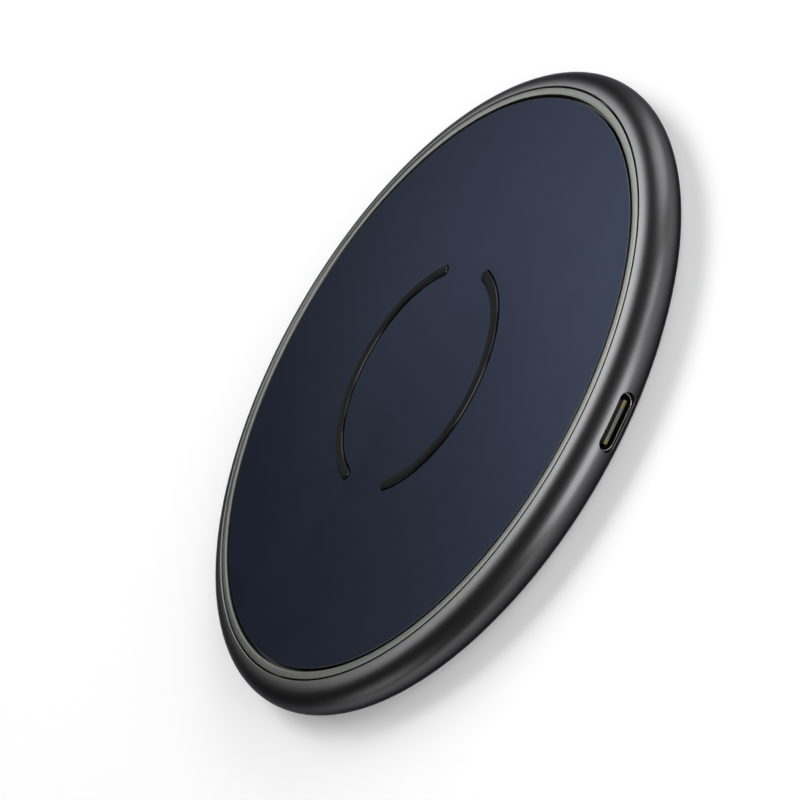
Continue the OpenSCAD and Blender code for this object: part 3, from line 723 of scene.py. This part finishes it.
def make_strip(name, side, node):
    """Rubber strip with upright flanks and a squared, low crown. Its first and last rings close
    on its own middle line."""
    steps = 24
    squareness = 0.76
    flank_top = PLATE_TOP - 0.12 * MM
    rise = GRIP_TOP - flank_top
    crown = []
    for i in range(steps + 1):
        a = math.pi / 2 * i / steps
        across = max(math.cos(a), 0) ** squareness
        crown.append((GRIP_HALF * across, flank_top + rise * math.sin(a) ** squareness))
    rings = strip_rings(side, [(0, GRIP_FOOT), (GRIP_HALF, GRIP_FOOT), *crown])
    finish_piece(skin(name, rings), "grip_rubber", node)


def groove_cutter(side):
    """The groove that a strip stands in, with a chamfer round its mouth."""
    half = GRIP_HALF + GRIP_SEAM
    chamfer = 0.05 * MM
    above = 1 * MM
    rings = strip_rings(side, [
        (half, GRIP_FOOT),
        (half, PLATE_TOP - chamfer),
        (half + chamfer, PLATE_TOP),
        (half + chamfer, PLATE_TOP + above),
    ])
    return skin("groove", rings, capped=True)


def make_plate():
    quarter = math.pi / 2
    profile = [
        (0, PLATE_UNDER),
        (PLATE_R - SEAM_R, PLATE_UNDER),
        (PLATE_R, PLATE_UNDER + SEAM_R),
        *arc((PLATE_R - SEAM_R, PLATE_TOP - PLATE_STEP - SEAM_R), SEAM_R, 0, quarter, steps=5),
        (PLATE_FACE_R + PLATE_EDGE_R, PLATE_TOP - PLATE_STEP),
        *arc((PLATE_FACE_R, PLATE_TOP - PLATE_EDGE_R), PLATE_EDGE_R, 0, quarter, steps=8),
        (0, PLATE_TOP),
    ]
    plate = lathe("plate", profile, closed=False)
    for side in (-1, 1):
        cut_out(plate, groove_cutter(side))
    finish_piece(plate, "satin_glass", "top_plate")


# ---- Inlet ----

def make_shell():
    """Drawn steel shell with a rounded lip."""
    outline = pill_outline(SHELL_W - 2 * SHELL_T, SHELL_H - 2 * SHELL_T)
    lip_r = SHELL_T / 2
    lip = arc((lip_r, MOUTH_Y + lip_r), lip_r, 0, -math.pi, steps=10)
    stations = [(SHELL_T, SHELL_BACK), *lip, (0, SHELL_BACK)]
    rings = tube_rings(outline, lambda x, z, out: stations)
    finish_piece(skin("inlet_shell", rings, closed=True), "shell_steel", "usb_shell")


def add_block(work, low, high, round_r):
    """Adds a box with rounded edges to a mesh under construction."""
    middle = [(a + b) / 2 for a, b in zip(low, high)]
    spread = Matrix.Diagonal([b - a for a, b in zip(low, high)] + [1])
    made = bmesh.ops.create_cube(work, size=1, matrix=Matrix.Translation(middle) @ spread)
    edges = list({e for v in made["verts"] for e in v.link_edges})
    bmesh.ops.bevel(work, geom=edges, offset=round_r, segments=3, profile=0.5, affect="EDGES")


def from_blocks(name, blocks, round_r):
    """Object of rounded boxes, each given by its low and high corners."""
    work = bmesh.new()
    for low, high in blocks:
        add_block(work, low, high, round_r)
    mesh = bpy.data.meshes.new(name)
    work.to_mesh(mesh)
    work.free()
    mesh.shade_smooth()
    mesh.set_sharp_from_angle(angle=BLOCK_SHARP)
    return add_object(name, mesh)


def make_tongue():
    """Moulded tongue with its thicker root, and the block that closes the shell behind it."""
    half = TONGUE_W / 2
    block_y = tongue_high.y - BLOCK_LEN
    overlap = 0.1 * MM
    blocks = [((tongue_low.x, block_y, tongue_low.z), tuple(tongue_high))]
    for front, thick in ((TONGUE_TIP, TONGUE_T), (block_y - ROOT_LEN, ROOT_T)):
        blocks.append(((-half, front, TONGUE_Z - thick / 2),
                       (half, block_y + overlap, TONGUE_Z + thick / 2)))
    tongue = from_blocks("tongue", blocks, round_r=0.09 * MM)
    finish_piece(tongue, "insulator_plastic", "usb_insulator")


def make_contacts():
    """Two rows of contacts with their tails, and the plated ears at the tongue's two corners."""
    low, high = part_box("usb_contacts")
    start = TONGUE_TIP + 0.7 * MM
    proud = 0.02 * MM
    tail = 0.3 * MM
    blocks = []
    # The lower row's tails stand in front of the upper row's.
    for side in (-1, 1):
        run = TONGUE_Z + side * (TONGUE_T / 2 - CONTACT_T / 2 + proud)
        back = high.y - tail - (1 - side) * tail
        for i in range(CONTACT_ROW):
            x = (i - (CONTACT_ROW - 1) / 2) * CONTACT_PITCH
            left, right = x - CONTACT_W / 2, x + CONTACT_W / 2
            blocks += [
                ((left, start, run - CONTACT_T / 2), (right, back, run + CONTACT_T / 2)),
                ((left, back - CONTACT_T, low.z), (right, back, run)),
                ((left, back - CONTACT_T, low.z), (right, back + tail, low.z + CONTACT_T)),
            ]
    ear = 1.25 * MM
    ear_rise = 0.21 * MM
    wrap = 0.015 * MM
    ear_out = TONGUE_W / 2 + wrap
    for side in (-1, 1):
        left, right = sorted((side * ear_out, side * (ear_out - ear)))
        blocks.append(((left, TONGUE_TIP - wrap, TONGUE_Z - ear_rise),
                       (right, TONGUE_TIP + ear, TONGUE_Z + ear_rise)))
    contacts = from_blocks("contacts", blocks, round_r=0.02 * MM)
    finish_piece(contacts, "contact_gold", "usb_contacts")


# ---- Lamps, world and floor ----

# Soft boxes that face the pad, all from one distance: azimuth and elevation in degrees, width and
# height in metres, and radiance.
LAMP_DISTANCE = 1.2
LAMPS = {
    "front_box": (0.9, 18.8, 1.18, 0.95, 5.35),
    "back_box": (156.7, 47, 0.5, 0.82, 5.5),
    "side_box": (96.9, 16.5, 0.7, 0.64, 3.6),
    "middle_box": (50, 19, 0.46, 0.62, 3.4),
    "far_box": (193.4, 51, 0.55, 0.52, 2.9),
    "low_box": (-102, 15.4, 0.58, 0.42, 1.4),
}
WORLD_LEVEL = 0.05
FLOOR_HALF = 3
FLOOR_LEVEL = 0.85
FLOOR_LIFT = 0.15


def make_lamp(name, azimuth, elevation, width, height, radiance):
    data = bpy.data.lights.new(name, "AREA")
    data.shape = "RECTANGLE"
    data.size = width
    data.size_y = height
    data.energy = radiance * math.pi * width * height
    lamp = add_object(name, data)
    way = toward(math.radians(azimuth), math.radians(elevation))
    lamp.location = LAMP_DISTANCE * way
    lamp.rotation_mode = "QUATERNION"
    lamp.rotation_quaternion = way.to_track_quat("Z", "Y")


def make_world():
    world = bpy.data.worlds.new("studio")
    bpy.context.scene.world = world
    world.use_nodes = True
    background = world.node_tree.nodes["Background"]
    background.inputs["Color"].default_value = (WORLD_LEVEL, WORLD_LEVEL, WORLD_LEVEL, 1)


def floor_paint():
    """Pale and matt. What the camera and shiny things see of it is lifted to white, with the
    shadow kept."""
    paint = Paint("pale_floor", specular=0)
    paint.shader.inputs["Base Color"].default_value = (FLOOR_LEVEL, FLOOR_LEVEL, FLOOR_LEVEL, 1)
    paint.shader.inputs["Roughness"].default_value = 1
    paint.shader.inputs["Emission Color"].default_value = (1, 1, 1, 1)
    rays = paint.add("ShaderNodeLightPath").outputs
    seen = rays["Is Camera Ray"]
    for kind in ("Is Glossy Ray", "Is Transmission Ray"):
        seen = paint.maths("MAXIMUM", seen, rays[kind])
    lift = paint.maths("MULTIPLY", seen, FLOOR_LIFT)
    paint.link(lift, paint.shader.inputs["Emission Strength"])
    return paint.mat


def make_floor():
    corners = [
        (-FLOOR_HALF, -FLOOR_HALF, 0),
        (FLOOR_HALF, -FLOOR_HALF, 0),
        (FLOOR_HALF, FLOOR_HALF, 0),
        (-FLOOR_HALF, FLOOR_HALF, 0),
    ]
    mesh = bpy.data.meshes.new("floor")
    mesh.from_pydata(corners, [], [(0, 1, 2, 3)])
    mesh.materials.append(floor_paint())
    add_object("floor", mesh)


# ---- Scene ----

bpy.context.scene.view_settings.view_transform = "Standard"
make_camera()
for lamp_name, settings in LAMPS.items():
    make_lamp(lamp_name, *settings)
make_world()
make_floor()
paints = make_paints()
for row in frame["record"]["subparts"]:
    dress(nodes[row["node"]], row["material_slot"])
make_rim()
make_bezel()
make_plate()
make_strip("grip_front", side=-1, node="grip_strip_front")
make_strip("grip_back", side=1, node="grip_strip_back")
make_shell()
make_tongue()
make_contacts()
